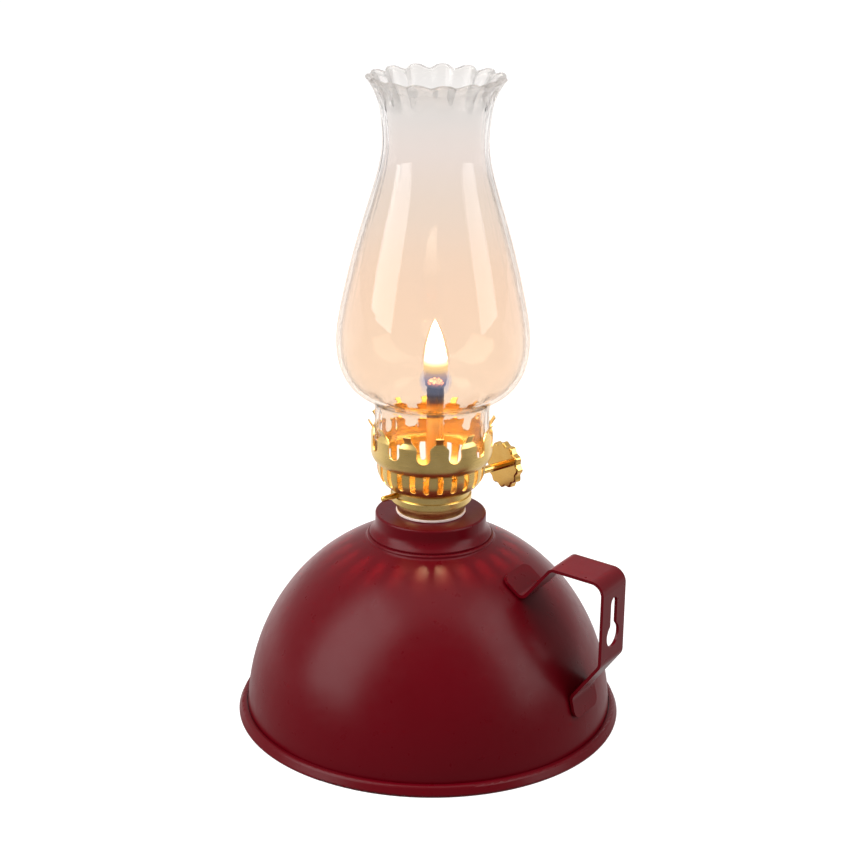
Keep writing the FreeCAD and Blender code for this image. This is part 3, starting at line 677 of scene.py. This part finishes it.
def make_world():
    """White to look at, dimmer as a source of diffuse light, and a dim studio for reflections.

    Rays that pass through glass count as glossy too, so they are taken out of the reflections.
    """
    world = bpy.data.worlds.new("studio")
    bpy.context.scene.world = world
    world.use_nodes = True
    nodes = world.node_tree.nodes
    links = world.node_tree.links
    nodes.clear()
    output = nodes.new("ShaderNodeOutputWorld")
    background = nodes.new("ShaderNodeBackground")
    path = nodes.new("ShaderNodeLightPath")
    mix = nodes.new("ShaderNodeMix")
    mix.data_type = "RGBA"
    mix.inputs[6].default_value = WORLD_SEEN
    place = nodes.new("ShaderNodeTexCoord")
    facing = nodes.new("ShaderNodeVectorMath")
    facing.operation = "DOT_PRODUCT"
    turn = math.radians(CAMERA_AZIMUTH)
    facing.inputs[1].default_value = (math.sin(turn), -math.cos(turn), 0.0)
    ramp = nodes.new("ShaderNodeValToRGB")
    behind, front = ramp.color_ramp.elements
    behind.position, front.position = WORLD_MIRRORED_STEPS
    behind.color = WORLD_MIRRORED_BEHIND
    front.color = WORLD_MIRRORED_FRONT
    half = nodes.new("ShaderNodeMapRange")
    half.inputs["From Min"].default_value = -1.0
    links.new(place.outputs["Generated"], facing.inputs[0])
    links.new(facing.outputs["Value"], half.inputs["Value"])
    links.new(half.outputs["Result"], ramp.inputs["Fac"])
    mirrored = nodes.new("ShaderNodeMath")
    mirrored.operation = "SUBTRACT"
    mirrored.use_clamp = True
    links.new(path.outputs["Is Glossy Ray"], mirrored.inputs[0])
    links.new(path.outputs["Is Transmission Ray"], mirrored.inputs[1])
    links.new(mirrored.outputs[0], mix.inputs[0])
    links.new(ramp.outputs["Color"], mix.inputs[7])
    shade = nodes.new("ShaderNodeMix")
    shade.data_type = "RGBA"
    shade.inputs[7].default_value = WORLD_LIGHTING
    links.new(path.outputs["Is Diffuse Ray"], shade.inputs[0])
    links.new(mix.outputs[2], shade.inputs[6])
    links.new(shade.outputs[2], background.inputs["Color"])
    links.new(background.outputs[0], output.inputs["Surface"])


def make_floor():
    """A pale matt disc whose glow, like the world's, differs by the kind of ray."""
    t = Tree("pale_floor")
    grain = t.noise(t.place(), 60.0, 3.0)
    colour = t.mix(grain, (0.26, 0.26, 0.26), (0.28, 0.28, 0.28))
    matte = t.add("BsdfDiffuse", Color=colour)
    glow = t.add("Emission", Color=(1.0, 1.0, 1.0, 1.0), Strength=FLOOR_GLOW)
    both = t.nodes.new("ShaderNodeAddShader")
    t.links.new(matte.outputs[0], both.inputs[0])
    path = t.add("LightPath")
    bounce = t.add("Emission", Color=(1.0, 1.0, 1.0, 1.0), Strength=FLOOR_BOUNCE)
    lit = t.nodes.new("ShaderNodeMixShader")
    t.links.new(path.outputs["Is Diffuse Ray"], lit.inputs[0])
    t.links.new(glow.outputs[0], lit.inputs[1])
    t.links.new(bounce.outputs[0], lit.inputs[2])
    t.links.new(lit.outputs[0], both.inputs[1])
    mirrored = t.math("SUBTRACT", path.outputs["Is Glossy Ray"], path.outputs["Is Transmission Ray"])
    x, y, _ = t.split(t.place())
    turn = math.radians(CAMERA_AZIMUTH)
    behind = t.math("SUBTRACT", t.math("MULTIPLY", y, math.cos(turn)), t.math("MULTIPLY", x, math.sin(turn)))
    strength = t.span(behind, *FLOOR_MIRRORED_FROM, *FLOOR_MIRRORED)
    dim = t.add("Emission", Color=(1.0, 0.97, 0.96, 1.0), Strength=strength)
    seen = t.nodes.new("ShaderNodeMixShader")
    t.links.new(mirrored, seen.inputs[0])
    t.links.new(both.outputs[0], seen.inputs[1])
    t.links.new(dim.outputs[0], seen.inputs[2])
    mesh = bpy.data.meshes.new("floor")
    work = bmesh.new()
    bmesh.ops.create_circle(work, cap_ends=True, segments=96, radius=FLOOR_RADIUS)
    work.to_mesh(mesh)
    work.free()
    floor = bpy.data.objects.new("floor", mesh)
    mesh.materials.append(t.done(seen.outputs[0]))
    bpy.context.scene.collection.objects.link(floor)
    floor.location.z = -FLOOR_DROP


make_world()
make_floor()
softbox("key_left", azimuth=-68, elevation=35, distance=1.3, width=0.9, height=1.5, radiance=6.0)
softbox("fill_right", azimuth=72, elevation=34, distance=1.3, width=0.7, height=1.5, radiance=4.2)
softbox("top", azimuth=0, elevation=84, distance=1.4, width=1.0, height=1.0, radiance=1.6)
bpy.context.scene.view_settings.view_transform = "Standard"

bpy.context.view_layer.update()
